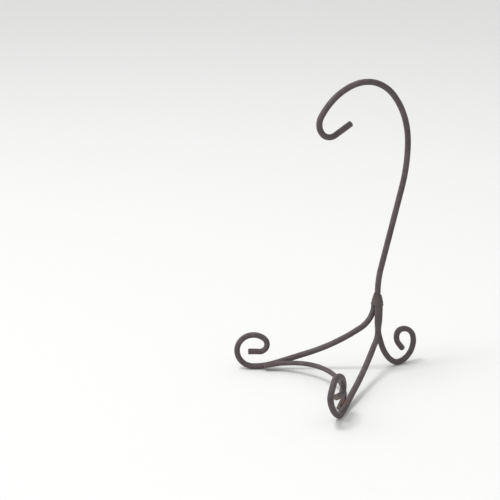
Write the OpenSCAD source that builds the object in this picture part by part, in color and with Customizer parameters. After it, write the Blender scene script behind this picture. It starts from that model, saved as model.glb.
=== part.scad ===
// Scrolled wire stand: an S-shaped hook stem on three scroll feet, tied by a wrapped collar.
// The origin is on the floor below the stem. +Z is up and the hook reaches towards -Y.

/* [Rods] */
// Diameter of the stem and leg rods
rod_d = 5.5; // [4.5:0.5:6.5]
// Diameter of the front brace rod
brace_d = 4.5; // [3.5:0.5:5.5]

/* [Stem] */
// Straight root of the stem above the collar
stem_root = 4; // [2:1:10]
// Length of the straight back run above the root bend
stem_run = 77; // [60:1:100]
// Bend radius over the crown
crown_r = 46; // [36:1:56]
// Bend radius of the crook that holds what hangs
crook_r = 12.2; // [9:0.1:16]
// Length of the straight tip past the crook
tip_len = 19; // [12:1:24]

/* [Legs] */
// Angle of each front leg from straight ahead
leg_angle = 35; // [30:1:40]
// Straight shin of the left front leg
left_shin = 33; // [26:1:44]
// Scroll radius of the left front foot
left_scroll_r = 15.7; // [13:0.1:19]
// Straight shin of the right front leg
right_shin = 33.5; // [26:0.5:44]
// Crown radius of the right front foot's scroll
right_scroll_r = 12.3; // [10:0.1:15]
// Bend radius of the rear leg above its foot
rear_bow_r = 49; // [40:1:60]
// Outer scroll radius of the rear foot
rear_scroll_r = 17.7; // [14:0.1:22]

/* [Collar] */
// Gap from the highest leg bend up to the collar
collar_gap = 0.2; // [0:0.1:2]
// Height of the collar
collar_h = 10; // [8:0.5:14]
// Wall of the collar where it grips the legs
collar_wall = 0.4; // [0.4:0.1:1]
// Wall of the collar where it grips the stem
collar_lip = 1.2; // [0.6:0.1:1.5]
// Length of each leg held inside the collar
leg_grip = 2; // [1.6:0.2:4]

/* [Brace] */
// Distance along each front leg to the start of the brace's straight end
brace_reach = 90; // [80:1:100]
// Slope of the brace, falling to the front
brace_slope = 20; // [10:1:24]
// Bend radius of the middle of the brace
brace_bow_r = 76; // [62:1:92]
// Bend radius where the brace turns along the leg
brace_end_r = 24; // [20:1:32]
// Straight end of the brace that lies along the leg
brace_tail = 13; // [10:1:20]
// Air under the ends of the brace
brace_air = 0.4; // [0.3:0.1:2]
// How far the ends of the brace hang below the middle of the legs, where the floor lets them
brace_hang = 0.4; // [0.2:0.1:1]

/* [Welds] */
// Radius of each weld bead
bead_r = 1.5; // [1.2:0.1:1.8]
// Length of each bead between the brace and a leg
brace_bead_len = 7; // [6:1:12]
// Length of each bead between two legs
leg_bead_len = 4; // [3:0.5:6]
// Height of the weld round the foot of the stem
stem_bead_h = 2; // [1:0.5:3]

/* [Hidden] */
$fn = 64;
// Sides of a rod's section, and the turn between its stations in a bend.
rod_sides = 20;
bend_step = 7.5;
rod_r = rod_d / 2;
brace_r = brace_d / 2;
// The swept stem ends inside its round tip, and is this much thinner all round.
tip_seat = 1;
tip_step = 0.01;

// A bend table runs along its rod in one plane. A row is [bend radius, turn in degrees], or
// [length, 0] where the rod is straight. A turn is positive towards the rod's left-hand side.
// A pose is [distance out, height, heading] of the rod's axis.
function next_pose(pose, row) =
    let (bend = sign(row[1]) * row[0], heading = pose[2] + row[1])
    row[1] == 0
        ? [pose[0] + row[0] * cos(pose[2]), pose[1] + row[0] * sin(pose[2]), pose[2]]
        : [pose[0] + bend * (sin(heading) - sin(pose[2])),
           pose[1] - bend * (cos(heading) - cos(pose[2])),
           heading];
function poses(rows, start) =
    [for (i = 0, pose = start; i <= len(rows);
          pose = i < len(rows) ? next_pose(pose, rows[i]) : pose, i = i + 1) pose];

// Down each leg to the floor: the turns add up to a right angle, from plumb to level.
left_down = [[29, 54], [185, 17.3], [left_shin, 0], [62, 18.7]];
right_down = [[7.2, 64], [260, 14.5], [right_shin, 0], [74, 11.5]];
rear_down = [[rear_bow_r, 38.5], [32, 19], [13, 32.5]];
// Round each scroll, from the floor to the square-cut end inside it.
left_foot = [[left_scroll_r, 219.5], [7.4, 145], [47, -6], [5, 0]];
right_foot = [[15, 26.5], [55.5, 29.5], [right_scroll_r, 125], [29, 55], [5.9, 138], [14, 0]];
rear_foot = [[rear_scroll_r, 104], [13.7, 84.5], [6.6, 91.5], [13, 31], [7.4, 0]];

function drop(down) = -poses(down, [0, 0, -90])[len(down)][1];
collar_z = rod_r + max(drop(left_down), drop(right_down), drop(rear_down)) + collar_gap;
leg_top = collar_z + leg_grip;
collar_top = collar_z + collar_h;
// Every leg gets the straight top that stands its foot on the floor.
function leg_rows(down, foot) = concat([[leg_top - rod_r - drop(down), 0]], down, foot);
stem_rows = [
    [collar_top - leg_top + stem_root, 0],
    [72.5, 16.6],
    [stem_run, 0],
    [132, -18],
    [68, -42.5],
    [crown_r, -58.6],
    [61.5, -42.7],
    [crook_r, -151.5]
];
tip = poses(stem_rows, [0, leg_top, 90])[len(stem_rows)];

// The three legs stand in a touching triangle round the stem's axis.
bundle_r = rod_d / sqrt(3);
left_place = [-rod_r, -bundle_r / 2];
right_place = [rod_r, -bundle_r / 2];
rear_place = [0, bundle_r];
left_azimuth = -90 - leg_angle;
right_azimuth = -90 + leg_angle;
rear_azimuth = 90;

// Height of a leg's axis at a distance out, between the collar and the floor.
function height_at(down, out) =
    let (stops = poses(down, [0, rod_r + drop(down), -90]),
         i = max([for (k = [0 : len(down) - 1]) if (stops[k][0] <= out) k]),
         gone = out - stops[i][0], heading = stops[i][2], bend = down[i][0])
    stops[i][1] + (down[i][1] == 0
        ? gone * tan(heading)
        : bend * cos(heading) - sqrt(bend * bend - pow(gone + bend * sin(heading), 2)));

// The brace lies in one sloping plane, between two lines beside the front legs.
tail_turn = atan2(cos(leg_angle) / cos(brace_slope), sin(leg_angle));
side_step = rod_r + brace_r;
tail_x = rod_r - side_step * cos(leg_angle) + brace_reach * sin(leg_angle);
tail_y = -bundle_r / 2 - side_step * sin(leg_angle) - brace_reach * cos(leg_angle);
bow_turn = asin((tail_x - brace_end_r * sin(tail_turn)) / (brace_bow_r - brace_end_r));
tail_drop = brace_tail * sin(tail_turn) * sin(brace_slope);
tail_fall = asin(sin(tail_turn) * sin(brace_slope));
// The ends stay beside the legs' middle, but clear of the floor.
bead_reach = brace_reach + brace_tail / 2 * cos(tail_fall);
leg_middle = (height_at(left_down, bead_reach) + height_at(right_down, bead_reach)) / 2;
tail_z = max(brace_r + brace_air + tail_drop, leg_middle - brace_hang + tail_drop / 2);
end_turn = tail_turn - bow_turn;
half_brace = [[brace_bow_r, -bow_turn], [brace_end_r, -end_turn], [brace_tail, 0]];
brace_stops = poses(half_brace, [0, 0, 0]);
brace_start = [-brace_stops[3][0], brace_stops[3][1] - brace_stops[2][1], tail_turn];
brace_rows = [
    [brace_tail, 0], [brace_end_r, -end_turn], [brace_bow_r, -2 * bow_turn],
    [brace_end_r, -end_turn], [brace_tail, 0]
];

// Each bead sits in a groove, a little above the line where its two rods touch.
bead_gap = 0.2;
bead_out = bundle_r / 2 + bead_r + bead_gap;
stem_bead_foot = 1.1;
stem_bead_top = 0.3;
// Height of the collar's tight top edge.
collar_lip_h = 1.5;

// Stations of a rod: a pose at the start of each row, and every bend_step round its bends.
function stations(rows, start) =
    let (stops = poses(rows, start))
    [for (i = [0 : len(rows) - 1])
         let (turn = rows[i][1], count = max(1, ceil(abs(turn) / bend_step)))
         for (k = [0 : count - 1])
             k == 0 ? stops[i] : next_pose(stops[i], [rows[i][0], turn * k / count]),
     stops[len(rows)]];

// Corners of the rod's section at a station, square to its heading.
function section(pose, radius) =
    [for (j = [0 : rod_sides - 1])
         let (out = radius * cos(360 * j / rod_sides))
         [pose[0] - out * sin(pose[2]),
          radius * sin(360 * j / rod_sides),
          pose[1] + out * cos(pose[2])]];

// A round rod in the XZ plane.
module bent_rod(d, rows, start) {
    stops = stations(rows, start);
    last = (len(stops) - 1) * rod_sides;
    polyhedron(
        points = [for (stop = stops) each section(stop, d / 2)],
        faces = [
            [for (j = [rod_sides - 1 : -1 : 0]) j],
            for (base = [0 : rod_sides : last - 1])
                for (j = [0 : rod_sides - 1])
                    let (next = (j + 1) % rod_sides)
                    [base + j, base + next, base + rod_sides + next, base + rod_sides + j],
            [for (j = [0 : rod_sides - 1]) last + j]
        ]
    );
}

module leg(place, azimuth, rows) {
    translate(place) rotate([0, 0, azimuth]) bent_rod(rod_d, rows, [0, leg_top, -90]);
}

// A bead with round ends, along +Z from its middle.
module bead(length) {
    cylinder(r = bead_r, h = length, center = true);
    for (end = [-1, 1])
        translate([0, 0, end * length / 2]) sphere(r = bead_r);
}

// The three legs' outline, grown by a wall.
module bundle(wall, height) {
    for (place = [left_place, right_place, rear_place])
        translate(place) cylinder(r = rod_r + wall, h = height);
}

module hook_stem() {
    color([0.36, 0.32, 0.33]) rotate([0, 0, -90]) {
        bent_rod(rod_d - 2 * tip_step, concat(stem_rows, [[tip_seat, 0]]), [0, leg_top, 90]);
        translate([tip[0], 0, tip[1]]) rotate([0, 90 - tip[2], 0]) cylinder(d = rod_d, h = tip_len);
    }
}

module left_front_leg() {
    color([0.34, 0.30, 0.31]) leg(left_place, left_azimuth, leg_rows(left_down, left_foot));
}

module right_front_leg() {
    color([0.38, 0.34, 0.35]) leg(right_place, right_azimuth, leg_rows(right_down, right_foot));
}

module rear_leg() {
    color([0.32, 0.29, 0.30]) leg(rear_place, rear_azimuth, leg_rows(rear_down, rear_foot));
}

module front_brace() {
    color([0.40, 0.36, 0.37])
        translate([0, tail_y, tail_z])
            rotate([brace_slope - 90, 0, 0]) bent_rod(brace_d, brace_rows, brace_start);
}

module collar() {
    color([0.42, 0.38, 0.38])
        difference() {
            hull() {
                translate([0, 0, collar_z]) bundle(collar_wall, leg_grip, $fn = 48);
                translate([0, 0, leg_top])
                    cylinder(r = rod_r + collar_lip, h = collar_top - leg_top, $fn = 48);
            }
            hull() {
                translate([0, 0, collar_z - 1]) bundle(0, leg_grip + 1, $fn = 48);
                cylinder(r = rod_r, h = collar_top - collar_lip_h, $fn = 48);
            }
            translate([0, 0, collar_z - 1]) bundle(0, leg_grip + 1);
            cylinder(r = rod_r, h = collar_top + 1);
        }
}

module stem_weld() {
    color([0.30, 0.27, 0.28])
        difference() {
            translate([0, 0, leg_top])
                cylinder(r1 = rod_r + stem_bead_foot, r2 = rod_r + stem_bead_top, h = stem_bead_h);
            cylinder(r = rod_r, h = collar_top);
        }
}

// A bead in the groove between the rear leg and a front leg, below the collar.
module leg_weld(side, low) {
    difference() {
        translate([side * bead_out * cos(30), bead_out * sin(30), low + leg_bead_len / 2])
            bead(leg_bead_len - 2 * bead_r);
        bundle(0, collar_z);
    }
}

module left_leg_weld() {
    color([0.30, 0.27, 0.28]) leg_weld(-1, collar_z - leg_bead_len - bead_gap);
}

module right_leg_weld() {
    color([0.30, 0.27, 0.28])
        leg_weld(1, rod_r + max(drop(right_down), drop(rear_down)) + bead_gap);
}

// A bead in the groove between a front leg and the straight end of the brace.
module brace_weld(place, azimuth, side, down) {
    height = (height_at(down, bead_reach) + tail_z - tail_drop / 2) / 2 + bead_r + bead_gap;
    translate(place) rotate([0, 0, azimuth])
        translate([bead_reach, side * rod_r, height]) rotate([0, 90 + tail_fall, 0])
            bead(brace_bead_len - 2 * bead_r);
}

module left_brace_weld() {
    color([0.30, 0.27, 0.28])
        difference() {
            brace_weld(left_place, left_azimuth, 1, left_down);
            left_front_leg();
            front_brace();
        }
}

module right_brace_weld() {
    color([0.30, 0.27, 0.28])
        difference() {
            brace_weld(right_place, right_azimuth, -1, right_down);
            right_front_leg();
            front_brace();
        }
}

hook_stem();
left_front_leg();
right_front_leg();
rear_leg();
front_brace();
collar();
stem_weld();
left_leg_weld();
right_leg_weld();
left_brace_weld();
right_brace_weld();
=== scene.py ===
import math
import bpy
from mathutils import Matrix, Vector, noise


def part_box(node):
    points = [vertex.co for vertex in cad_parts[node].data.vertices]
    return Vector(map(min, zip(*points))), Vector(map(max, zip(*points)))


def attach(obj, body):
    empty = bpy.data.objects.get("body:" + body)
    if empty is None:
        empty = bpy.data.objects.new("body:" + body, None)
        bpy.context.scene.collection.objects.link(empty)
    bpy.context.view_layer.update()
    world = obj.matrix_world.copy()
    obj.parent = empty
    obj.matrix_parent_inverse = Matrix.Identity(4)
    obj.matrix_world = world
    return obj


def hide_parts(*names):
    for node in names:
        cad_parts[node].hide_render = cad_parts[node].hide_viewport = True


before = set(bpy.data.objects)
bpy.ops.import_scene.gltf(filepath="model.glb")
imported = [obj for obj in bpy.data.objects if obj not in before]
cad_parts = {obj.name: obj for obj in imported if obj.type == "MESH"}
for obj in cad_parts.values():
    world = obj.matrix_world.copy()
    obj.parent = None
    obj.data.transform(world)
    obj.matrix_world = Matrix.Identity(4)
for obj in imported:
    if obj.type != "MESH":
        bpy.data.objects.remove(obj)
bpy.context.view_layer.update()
mm = 0.001


def smooth(value):
    value = min(1, max(0, value))
    return value * value * (3 - 2 * value)


# A shader socket that can be used in sums
class Wire:
    def __init__(self, tree, socket=None):
        self.tree = tree
        self.socket = socket

    def node(self, kind, settings=None, values=None, out=0):
        made = self.tree.nodes.new(kind)
        for name, value in (settings or {}).items():
            setattr(made, name, value)
        for name, value in (values or {}).items():
            if isinstance(value, Wire):
                self.tree.links.new(value.socket, made.inputs[name])
            else:
                made.inputs[name].default_value = value
        return Wire(self.tree, made.outputs[out])

    def sum(self, operation, first, second):
        return self.node("ShaderNodeMath", {"operation": operation}, {0: first, 1: second})

    def __add__(self, other):
        return self.sum("ADD", self, other)

    __radd__ = __add__

    def __sub__(self, other):
        return self.sum("SUBTRACT", self, other)

    def __rsub__(self, other):
        return self.sum("SUBTRACT", other, self)

    def __mul__(self, other):
        return self.sum("MULTIPLY", self, other)

    __rmul__ = __mul__

    def mixed(self, low, high):
        return self.node("ShaderNodeMix", {"data_type": "RGBA"}, {0: self, 6: low, 7: high}, 2)

    def between(self, low, high):
        return self.node("ShaderNodeMapRange", {"interpolation_type": "SMOOTHSTEP"},
                         {"Value": self, "From Min": low, "From Max": high})


paint = {
    "deep": (0.082, 0.065, 0.066),      # the brown in the hollows
    "face": (0.112, 0.091, 0.092),      # the brown on the open faces
    "dusty": (0.155, 0.130, 0.129),     # thin, dry patches
    "scuffed": (0.175, 0.138, 0.122),   # rubbed edges and feet
    "scorched": (0.098, 0.056, 0.048),  # red-brown beside the welds
    "drift": 38,            # noise scales: slow drift along a rod, about 25 mm
    "patch": 260,           # patches of 3 or 4 mm
    "speck": 1500,          # grain of the sprayed coat
    "peel": 720,            # fine orange peel
    "peelStrength": 0.35,
    "peelHeight": 0.08,     # mm
    "roughness": 0.52,
    "gloss": 0.16,
}


def paintedSteel(name, tone=(1, 1, 1), peel=1.0, grain=1.0):
    material = bpy.data.materials.new(name)
    material.use_nodes = True
    tree = material.node_tree
    shader = tree.nodes["Principled BSDF"]
    start = Wire(tree)
    place = start.node("ShaderNodeTexCoord", out=3)

    def cloud(scale, detail, rough=0.5):
        return start.node("ShaderNodeTexNoise", None, {
            "Vector": place, "Scale": scale * grain, "Detail": detail, "Roughness": rough})

    def shade(part):
        return tuple(v * t for v, t in zip(paint[part], tone)) + (1,)

    drift = cloud(paint["drift"], 2)
    patch = cloud(paint["patch"], 3)
    speck = cloud(paint["speck"], 2, 0.6)
    body = (drift * 0.45 + patch * 0.55).between(0.34, 0.66).mixed(shade("deep"), shade("face"))
    dry = (patch * 0.4 + speck * 0.6).between(0.52, 0.72) * 0.55
    coat = dry.mixed(body, shade("dusty"))
    rubbed = start.node("ShaderNodeAttribute", {"attribute_name": "rubbed"}, out=2)
    heated = start.node("ShaderNodeAttribute", {"attribute_name": "heated"}, out=2)
    scuff = (rubbed + patch * 0.9 + speck * 0.5 - 0.7).between(0.30, 0.70)
    scorch = (heated + patch * 0.8 - 0.4).between(0.25, 0.85) * 0.8
    worn = scuff.mixed(coat, shade("scuffed"))
    colour = scorch.mixed(worn, shade("scorched"))
    tree.links.new(colour.socket, shader.inputs["Base Color"])
    rough = paint["roughness"] - 0.08 + patch * 0.10 + speck * 0.10 - scuff * 0.10
    tree.links.new(rough.socket, shader.inputs["Roughness"])
    relief = start.node("ShaderNodeBump", None, {
        "Strength": paint["peelStrength"] * peel, "Distance": paint["peelHeight"] * mm,
        "Height": cloud(paint["peel"], 2) * 0.6 + speck * 0.25 + patch * 0.5 - scuff * 0.2})
    tree.links.new(relief.socket, shader.inputs["Normal"])
    shader.inputs["Specular IOR Level"].default_value = paint["gloss"]
    return material


rodPaint = paintedSteel("rod paint")
stripPaint = paintedSteel("strip paint", (0.97, 0.98, 0.91), 1.6)
weldPaint = paintedSteel("weld paint", (1.0, 0.85, 0.82), 2.2, 1.4)
print("paint mixed")

# where the welds sit, for the scorched colour beside them
weldNodes = ["left_leg_weld", "right_leg_weld", "left_brace_weld", "right_brace_weld"]
# the right leg's bead sits lower and deeper than its node, in the crotch of the leaning legs
weldShift = {"right_leg_weld": Vector((-0.8, -0.1, -6.5)) * mm}
weldSpots = {node: sum(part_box(node), Vector()) / 2 + weldShift.get(node, Vector()) for node in weldNodes}
scorchReach = 8 * mm


def heatAt(point):
    near = min((point - spot).length for spot in weldSpots.values())
    return max(0, 1 - near / scorchReach)


def newPiece(name, points, faces, material, node, rubbed=None):
    mesh = bpy.data.meshes.new(name)
    mesh.from_pydata([tuple(p) for p in points], [], faces)
    mesh.update()
    for title, values in (("rubbed", rubbed or [0] * len(points)), ("heated", [heatAt(p) for p in points])):
        layer = mesh.attributes.new(title, "FLOAT", "POINT")
        layer.data.foreach_set("value", values)
    mesh.shade_smooth()
    piece = bpy.data.objects.new(name, mesh)
    bpy.context.collection.objects.link(piece)
    mesh.materials.append(material)
    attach(piece, "root")
    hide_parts(node)
    return piece


# bent rods: a row is (radius in mm, turn in degrees), or (length in mm, 0) where it is straight
def bendPath(rows, start, step=1.6 * mm, turnStep=4):
    out, up, heading = start[0], start[1], math.radians(start[2])
    path = [(out, up, heading, 0.0, 0.0)]
    gone = 0.0
    for size, turn in rows:
        size *= mm
        length = size * math.radians(abs(turn)) if turn else size
        count = max(1, math.ceil(length / step), math.ceil(abs(turn) / turnStep))
        for _ in range(count):
            if turn:
                bend = math.copysign(size, turn)
                after = heading + math.radians(turn) / count
                out += bend * (math.sin(after) - math.sin(heading))
                up -= bend * (math.cos(after) - math.cos(heading))
                heading = after
            else:
                out += length / count * math.cos(heading)
                up += length / count * math.sin(heading)
            gone += length / count
            path.append((out, up, heading, 1 / size if turn else 0.0, gone))
    return path


rodMake = {
    "sides": 32, "chamfer": 0.32, "dish": 0.12, "uneven": 0.035,   # mm, but for the sides
    "flatten": 0.045,       # how much of its radius a rod loses in the tightest bends
    "tightRadius": 6,       # bend radius in mm that counts as the tightest
    "tightReach": 3,        # mm of rod over which a bend's tightness is spread, each way
    "endRub": 1.3,          # mm of rubbed paint at a cut end
    "floor": True,          # the rod stands on the floor, with its lowest points rubbed
    "footRub": 0.35,        # mm of rubbed paint above the floor
}


def middlePlane(out, side, up):
    return Vector((side, -out, up))


def bentRod(name, node, rows, start, diameter, place=middlePlane, settings=None):
    s = {**rodMake, **(settings or {})}
    path = bendPath(rows, start)
    total, radius = path[-1][4], diameter * mm / 2
    chamfer, dish, uneven = s["chamfer"] * mm, s["dish"] * mm, s["uneven"] * mm
    tight = []
    for _, _, _, _, gone in path:
        near = [c for _, _, _, c, g in path if abs(g - gone) <= s["tightReach"] * mm]
        tight.append(min(1, sum(near) / len(near) * s["tightRadius"] * mm))
    # a cut end is dished and chamfered: (share of the radius, how far along the rod)
    cutEnd = [(0.5, dish), (1 - chamfer / radius, 0.0), (1 - chamfer * 0.3 / radius, chamfer * 0.35),
              (1, chamfer * 1.2)]
    rings = []
    for i, (out, up, heading, _, gone) in enumerate(path):
        steps = [(1, 0.0)]
        if i == 0:
            steps = cutEnd
        elif i == len(path) - 1:
            steps = [(size, -slide) for size, slide in reversed(cutEnd)]
        rings += [(out, up, heading, size, slide, tight[i], gone) for size, slide in steps]
    points, rubbed = [], []
    sides = s["sides"]
    for out, up, heading, size, slide, bend, gone in rings:
        out += slide * math.cos(heading)
        up += slide * math.sin(heading)
        for j in range(sides):
            angle = 2 * math.pi * j / sides
            across = radius * size * math.cos(angle) * (1 - s["flatten"] * bend)
            side = radius * size * math.sin(angle) * (1 + s["flatten"] * 0.5 * bend)
            point = place(out - across * math.sin(heading), side, up + across * math.cos(heading))
            middle = place(out, 0, up)
            bump = noise.noise(point / (7 * mm)) + 0.45 * noise.noise(point / (2.6 * mm))
            point += (point - middle).normalized() * bump * uneven * size
            points.append(point)
            end = max(0, 1 - min(gone + abs(slide), total - gone + abs(slide)) / (s["endRub"] * mm))
            foot = max(0, 1 - point.z / (s["footRub"] * mm)) if s["floor"] else 0
            rubbed.append(min(1, max(end * 0.75, foot)))
    faces = []
    for i in range(len(rings) - 1):
        for j in range(sides):
            a, b = i * sides + j, i * sides + (j + 1) % sides
            faces.append((a, b, b + sides, a + sides))
    for ring, flip in ((0, True), (len(rings) - 1, False)):
        out, up, heading, _, slide, _, _ = rings[ring]
        points.append(place(out + slide * math.cos(heading) * 1.5, 0, up + slide * math.sin(heading) * 1.5))
        rubbed.append(0.6)
        for j in range(sides):
            a, b = ring * sides + j, ring * sides + (j + 1) % sides
            faces.append((b, a, len(points) - 1) if flip else (a, b, len(points) - 1))
    return newPiece(name, points, faces, rodPaint, node, rubbed)


# hook stem, bent in the plane through the middle of the stand
hookStem = {
    "diameter": 5.5,
    "rows": [(12, 0), (72.5, 16.6), (77, 0), (132, -18), (68, -42.5), (46, -58.6), (61.5, -42.7),
             (12.2, -151.5), (19, 0)],
}
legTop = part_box("hook_stem")[0].z
bentRod("hookStemRod", "hook_stem", hookStem["rows"], (0, legTop, 90), hookStem["diameter"],
        settings={"floor": False})
print("stem bent")

# three legs, each in an upright plane through its own rod of the bundle
legs = {
    "diameter": 5.5,
    "spread": 35,       # degrees each front leg turns away from the front
    "left": [(29, 54), (185, 17.3), (33, 0), (62, 18.7),
             (15.7, 219.5), (7.4, 145), (47, -6), (5, 0)],
    "right": [(7.2, 64), (260, 14.5), (33.5, 0), (74, 11.5),
              (15, 26.5), (55.5, 29.5), (12.3, 125), (29, 55), (5.9, 138), (14, 0)],
    "rear": [(49, 38.5), (32, 19), (13, 32.5),
             (17.7, 104), (13.7, 84.5), (6.6, 91.5), (13, 31), (7.4, 0)],
    # the right and rear legs lean together where they are welded: mm sideways and inwards there
    "lean": {"left": (0, 0), "right": (0.85, 0), "rear": (0.75, -0.55)},
    "leanHeight": 39.5, "leanReach": 12,
    "tucked": 1.8,      # how far the legs' tops stop short of the stem, inside the collar
}
rodR = legs["diameter"] * mm / 2
bundleR = 2 * rodR / math.sqrt(3)
legPlaces = {"left": (-rodR, -bundleR / 2, -90 - legs["spread"]),
             "right": (rodR, -bundleR / 2, -90 + legs["spread"]),
             "rear": (0, bundleR, 90)}


def fallOf(rows):
    level = [p for p in bendPath(rows, (0, 0, -90)) if abs(p[2]) < math.radians(1)]
    return -min(p[1] for p in level)


def bendLeg(side, node):
    x, y, azimuth = legPlaces[side]
    ahead = Vector((math.cos(math.radians(azimuth)), math.sin(math.radians(azimuth)), 0))
    beside = Vector((-ahead.y, ahead.x, 0))
    root = Vector((x, y, 0))
    sideways, inwards = (v * mm for v in legs["lean"][side])

    def legPlace(out, across, up):
        away = (up / mm - legs["leanHeight"]) / legs["leanReach"]
        lean = math.cos(away * math.pi / 2) ** 2 if abs(away) < 1 else 0
        aside = beside * (across + sideways * lean)
        return root + ahead * (out + inwards * lean) + aside + Vector((0, 0, up))

    straight = (legTop - rodR - fallOf(legs[side])) / mm - legs["tucked"]
    return bentRod(side + "LegRod", node, [(straight, 0)] + legs[side],
                   (0, legTop - legs["tucked"] * mm, -90), legs["diameter"], legPlace)


bendLeg("left", "left_front_leg")
bendLeg("right", "right_front_leg")
bendLeg("rear", "rear_leg")
print("legs bent")

# brace: a thinner rod bowed in one sloping plane, with a straight end beside each front leg
brace = {
    "diameter": 4.5, "reach": 90, "slope": 20, "bow": 76, "end": 24, "tail": 13, "air": 0.4,
    # the left end curves up beside its leg over the last stretch
    "leftLift": 2.2, "liftFrom": 43, "liftReach": 15, "chamfer": 0.26,
}


def bentBrace():
    spread, slope = math.radians(legs["spread"]), math.radians(brace["slope"])
    braceR = brace["diameter"] * mm / 2
    turn = math.atan2(math.cos(spread) / math.cos(slope), math.sin(spread))
    step = rodR + braceR
    tailX = rodR - step * math.cos(spread) + brace["reach"] * mm * math.sin(spread)
    tailY = -bundleR / 2 - step * math.sin(spread) - brace["reach"] * mm * math.cos(spread)
    bow = math.asin((tailX - brace["end"] * mm * math.sin(turn)) / ((brace["bow"] - brace["end"]) * mm))
    tailZ = braceR + brace["air"] * mm + brace["tail"] * mm * math.sin(turn) * math.sin(slope)
    endTurn, bowTurn = math.degrees(turn - bow), math.degrees(bow)
    half = bendPath([(brace["bow"], -bowTurn), (brace["end"], -endTurn), (brace["tail"], 0)], (0, 0, 0))
    joint = bendPath([(brace["bow"], -bowTurn), (brace["end"], -endTurn)], (0, 0, 0))[-1]
    start = (-half[-1][0], half[-1][1] - joint[1], math.degrees(turn))
    rows = [(brace["tail"], 0), (brace["end"], -endTurn), (brace["bow"], -2 * bowTurn),
            (brace["end"], -endTurn), (brace["tail"], 0)]
    along = Vector((0, math.cos(slope), math.sin(slope)))
    square = Vector((0, -math.sin(slope), math.cos(slope)))

    def bracePlace(out, across, up):
        share = (-out - brace["liftFrom"] * mm) / (brace["liftReach"] * mm)
        raised = brace["leftLift"] * mm * smooth(share)
        return Vector((out, tailY, tailZ + raised)) + along * up - square * across

    return bentRod("braceRod", "front_brace", rows, start, brace["diameter"], bracePlace,
                   {"chamfer": brace["chamfer"], "floor": False})


bentBrace()
print("brace bent")

# collar: a thin steel strip wound three times round the bundle and the foot of the stem
wrap = {
    "turns": 3.0, "startAngle": 146, "rise": 1.6, "pitch": 3.0, "height": 3.6, "endHeight": 5.0,
    "thin": 0.26, "thick": 0.52,  # metal at the low and the high edge
    "gap": 0.04, "lip": 0.32, "dents": 0.08, "dentSize": 1.9,
    "skirt": 0.26, "skirtTurns": 1.2, "skirtFrom": 0.72,   # the low edge of the last turns flares out
    "stepReach": 0.7,             # mm over which a turn climbs onto the one under it
    "taperFoot": 1.9,             # how far below the legs' tops the taper starts
    "around": 96,
}


def bundleOutline(count):
    # offset of the rod's centre and the direction square to the outline, evenly spaced round it
    centres = [legPlaces[k][:2] for k in ("right", "rear", "left")]
    arc, flat = rodR * math.radians(120), 2 * rodR
    spots = []
    for i in range(count):
        gone = i / count * 3 * (arc + flat)
        k = int(gone // (arc + flat)) % 3
        gone -= k * (arc + flat)
        towards = -30 + 120 * k
        if gone <= arc:
            angle = math.radians(towards - 60 + 120 * gone / arc)
            spots.append((centres[k][0], centres[k][1], angle))
        else:
            share = (gone - arc) / flat
            a, b = centres[k], centres[(k + 1) % 3]
            spots.append((a[0] + (b[0] - a[0]) * share, a[1] + (b[1] - a[1]) * share,
                          math.radians(towards + 60)))
    return spots


def wrappedCollar():
    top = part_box("collar")[1].z
    around = wrap["around"]
    spots = bundleOutline(around)
    taperLow = legTop - wrap["taperFoot"] * mm

    def offStart(i):
        x, y, angle = spots[i]
        bearing = math.degrees(math.atan2(y + rodR * math.sin(angle), x + rodR * math.cos(angle)))
        return abs((bearing - wrap["startAngle"] + 180) % 360 - 180)

    first = min(range(around), key=offStart)

    def taperAt(z):
        return min(1, max(0, (z - taperLow) / (top - taperLow)))

    def metalAt(z):
        return (wrap["thin"] + (wrap["thick"] - wrap["thin"]) * taperAt(z)) * mm

    def topEdge(turn):
        return top + wrap["rise"] * mm - wrap["pitch"] * mm * turn

    def heightOf(turn):
        share = turn / wrap["turns"]
        return (wrap["height"] + (wrap["endHeight"] - wrap["height"]) * share) * mm

    def lift(turn, z):
        if turn < 1:
            return 0.0
        under = smooth((z - topEdge(turn - 1) + heightOf(turn - 1)) / (wrap["stepReach"] * mm) + 0.2)
        return under * (lift(turn - 1, z) + 0.8 * metalAt(z)) + (1 - under) * 0.3 * metalAt(z)

    # the strip's section: (share of its height from the top, share of its thickness)
    profile = [(0.0, 0.5), (0.06, 0.95), (0.25, 1.0), (0.5, 1.0), (0.75, 1.0), (0.94, 0.95), (1.0, 0.5),
               (0.94, 0.05), (0.75, 0.0), (0.5, 0.0), (0.25, 0.0), (0.06, 0.05)]
    points, rubbed = [], []
    steps = int(around * wrap["turns"])
    for i in range(steps + 1):
        turn = i / around
        cx, cy, angle = spots[(first + i) % around]
        normal = Vector((math.cos(angle), math.sin(angle), 0))
        for down, depth in profile:
            z = topEdge(turn) - down * heightOf(turn)
            taper = taperAt(z)
            away = lift(turn, z) + (wrap["gap"] + wrap["lip"] * taper) * mm + depth * metalAt(z)
            if turn > wrap["turns"] - wrap["skirtTurns"]:
                away += wrap["skirt"] * mm * smooth((down - wrap["skirtFrom"]) / (1 - wrap["skirtFrom"]))
            middle = Vector((cx, cy, 0)) * (1 - taper) + Vector((0, 0, z))
            point = middle + normal * (rodR + away)
            spot = point / (wrap["dentSize"] * mm) + Vector((3, 1, turn * 5))
            dent = noise.noise(spot) * wrap["dents"] * mm
            point += normal * max(dent, -wrap["gap"] * mm) + Vector((0, 0, dent * 0.6))
            points.append(point)
            rubbed.append(0.45 if down in (0.0, 1.0) else 0.1)
    faces = []
    ring = len(profile)
    for i in range(steps):
        for j in range(ring):
            a, b = i * ring + j, i * ring + (j + 1) % ring
            faces.append((b, a, a + ring, b + ring))
    faces.append(tuple(range(ring)))
    faces.append(tuple(reversed(range(steps * ring, (steps + 1) * ring))))
    return newPiece("wrappedCollarStrip", points, faces, stripPaint, "collar", rubbed)


wrappedCollar()
print("collar wrapped")

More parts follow.
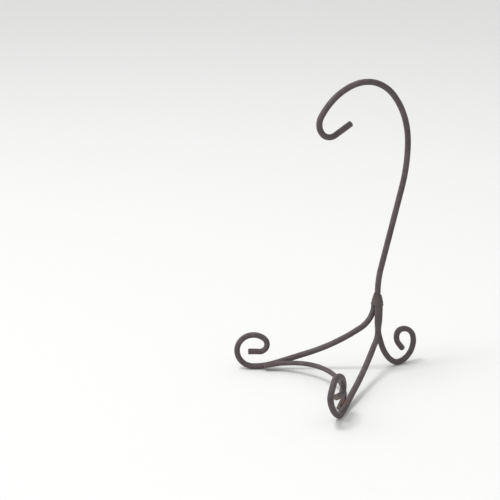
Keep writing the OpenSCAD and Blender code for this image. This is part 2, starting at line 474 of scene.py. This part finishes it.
# weld beads: lumpy runs of filler, sunk a little into both rods
welds = {
    "ripples": 5, "ripple": 0.07, "bluntness": 0.55, "lump": 0.22, "lumpSize": 1.4, "rubbed": 0.2,
    "sides": 20, "rings": 26,
    "left_leg_weld": (4.6, 1.55),     # length and radius in mm
    "right_leg_weld": (8.0, 1.5),
    "left_brace_weld": (8.5, 1.6),
    "right_brace_weld": (8.5, 1.6),
    "braceFall": 16,                  # degrees the beads beside the brace fall outwards
    "ringOut": 0.42, "ringWide": 0.5, "ringLump": 0.08, "ringLumpSize": 1.2,
}


def weldBead(name, node, axis):
    middle = weldSpots[node]
    length, radius = welds[node]
    axis = axis.normalized()
    first = axis.orthogonal().normalized()
    second = axis.cross(first)
    rings, sides = welds["rings"], welds["sides"]
    points = []
    for i in range(rings + 1):
        share = i / rings
        angle = math.pi * share
        swell = max(0.02, math.sin(angle)) ** welds["bluntness"]
        ripple = 1 + welds["ripple"] * math.sin(2 * math.pi * welds["ripples"] * share)
        spine = middle - axis * (length / 2) * math.cos(angle) * mm
        for j in range(sides):
            turn = 2 * math.pi * j / sides
            ray = first * math.cos(turn) + second * math.sin(turn)
            point = spine + ray * radius * mm * swell * ripple
            lump = noise.noise(point / (welds["lumpSize"] * mm)) * welds["lump"] * mm
            points.append(point + ray * lump * swell)
    faces = []
    for i in range(rings):
        for j in range(sides):
            a, b = i * sides + j, i * sides + (j + 1) % sides
            faces.append((a, b, b + sides, a + sides))
    faces.append(tuple(reversed(range(sides))))
    faces.append(tuple(range(rings * sides, (rings + 1) * sides)))
    rubbed = [welds["rubbed"]] * len(points)
    return newPiece(name, points, faces, weldPaint, node, rubbed)


def alongLeg(side):
    azimuth = math.radians(legPlaces[side][2])
    return Vector((math.cos(azimuth), math.sin(azimuth), -math.tan(math.radians(welds["braceFall"]))))


weldBead("leftLegWeldBead", "left_leg_weld", Vector((0, 0, 1)))
weldBead("rightLegWeldBead", "right_leg_weld", Vector((0, 0, 1)))
weldBead("leftBraceWeldBead", "left_brace_weld", alongLeg("left"))
weldBead("rightBraceWeldBead", "right_brace_weld", alongLeg("right"))


def stemRing():
    # the ring of filler round the foot of the stem, inside the collar
    low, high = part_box("stem_weld")
    around, across = 48, 16
    points, faces = [], []
    for i in range(around):
        angle = 2 * math.pi * i / around
        ray = Vector((math.cos(angle), math.sin(angle), 0))
        for j in range(across):
            turn = 2 * math.pi * j / across
            wide = welds["ringWide"] * mm * math.cos(turn) * (1 - 0.35 * math.sin(turn))
            tall = (high.z - low.z) * 0.5 * math.sin(turn)
            level = (low.z + high.z) / 2 + tall
            point = ray * (rodR + welds["ringOut"] * mm + wide) + Vector((0, 0, level))
            lump = noise.noise(point / (welds["ringLumpSize"] * mm)) * welds["ringLump"] * mm
            points.append(point + ray * lump)
            a, b = i * across + j, i * across + (j + 1) % across
            c, d = (i + 1) % around * across + j, (i + 1) % around * across + (j + 1) % across
            faces.append((a, c, d, b))
    rubbed = [welds["rubbed"]] * len(points)
    return newPiece("stemWeldRing", points, faces, weldPaint, "stem_weld", rubbed)


stemRing()
print("welds run")

studio = {
    "floorTone": (0.790, 0.793, 0.785, 1), "floorSize": 20.0,
    "pulpScale": 60.0, "pulpDepth": 0.985, "floorRoughness": 0.9, "floorGloss": 0.1,
    "sky": (1.0, 1.0, 1.0, 1), "skyStrength": 0.76,
    "darkSky": (0.50, 0.50, 0.50, 1),
    "darkFrom": (0.50, 0.75, -0.43),   # the side away from the soft light
    "darkStart": -0.3, "darkFull": 1.0,
    "overheadPower": 39, "overheadSize": 0.9, "overheadPlace": (-0.225, -1.11, 3.0),
    "sidePower": 0.9, "sideSoftness": 80, "sideHeight": 40, "sideAzimuth": 232,
}


def paleFloor():
    half = studio["floorSize"] / 2
    mesh = bpy.data.meshes.new("pale floor")
    corners = [(-half, -half, 0), (half, -half, 0), (half, half, 0), (-half, half, 0)]
    mesh.from_pydata(corners, [], [(0, 1, 2, 3)])
    floor = bpy.data.objects.new("pale floor", mesh)
    bpy.context.collection.objects.link(floor)
    material = bpy.data.materials.new("pale paper")
    material.use_nodes = True
    shader = material.node_tree.nodes["Principled BSDF"]
    start = Wire(material.node_tree)
    place = start.node("ShaderNodeTexCoord", out=3)
    pulp = start.node("ShaderNodeTexNoise", None, {
        "Vector": place, "Scale": studio["pulpScale"], "Detail": 3.0})
    darker = tuple(v * studio["pulpDepth"] for v in studio["floorTone"][:3]) + (1,)
    tone = pulp.mixed(darker, studio["floorTone"])
    material.node_tree.links.new(tone.socket, shader.inputs["Base Color"])
    shader.inputs["Roughness"].default_value = studio["floorRoughness"]
    shader.inputs["Specular IOR Level"].default_value = studio["floorGloss"]
    mesh.materials.append(material)


def hang(light, place, back):
    lamp = bpy.data.objects.new(light.name, light)
    lamp.location = place
    lamp.rotation_euler = back.to_track_quat("Z", "Y").to_euler()
    bpy.context.collection.objects.link(lamp)


def studioLight():
    world = bpy.data.worlds.new("studio")
    bpy.context.scene.world = world
    world.use_nodes = True
    back = world.node_tree.nodes["Background"]
    start = Wire(world.node_tree)
    compass = start.node("ShaderNodeTexCoord", out=0)
    darkSide = start.node("ShaderNodeVectorMath", {"operation": "DOT_PRODUCT"},
                          {0: compass, 1: studio["darkFrom"]}, 1)
    dark = darkSide.between(studio["darkStart"], studio["darkFull"])
    shaded = dark.mixed(studio["sky"], studio["darkSky"])
    world.node_tree.links.new(shaded.socket, back.inputs["Color"])
    back.inputs["Strength"].default_value = studio["skyStrength"]
    overhead = bpy.data.lights.new("overheadLight", "AREA")
    overhead.shape = "DISK"
    overhead.size = studio["overheadSize"]
    overhead.energy = studio["overheadPower"]
    above = Vector(studio["overheadPlace"])
    hang(overhead, above, above)
    side = bpy.data.lights.new("sideLight", "SUN")
    side.energy = studio["sidePower"]
    side.angle = math.radians(studio["sideSoftness"])
    up, around = math.radians(studio["sideHeight"]), math.radians(studio["sideAzimuth"])
    aim = Vector((math.cos(up) * math.cos(around), math.cos(up) * math.sin(around), math.sin(up)))
    hang(side, aim, aim)


camera = {"place": (0.8258, -0.6953, 0.4227), "tilt": 74.17, "turn": 56.22, "lens": 87.2}


def mainCamera():
    data = bpy.data.cameras.new("main camera")
    data.sensor_width = 36
    data.lens = camera["lens"]
    data.clip_end = 50
    eye = bpy.data.objects.new("main camera", data)
    eye.location = camera["place"]
    eye.rotation_euler = (math.radians(camera["tilt"]), 0, math.radians(camera["turn"]))
    bpy.context.collection.objects.link(eye)
    bpy.context.scene.camera = eye


paleFloor()
studioLight()
mainCamera()
bpy.context.scene.view_settings.view_transform = "Standard"
bpy.context.scene.view_settings.look = "None"
print("floor, light and camera set")
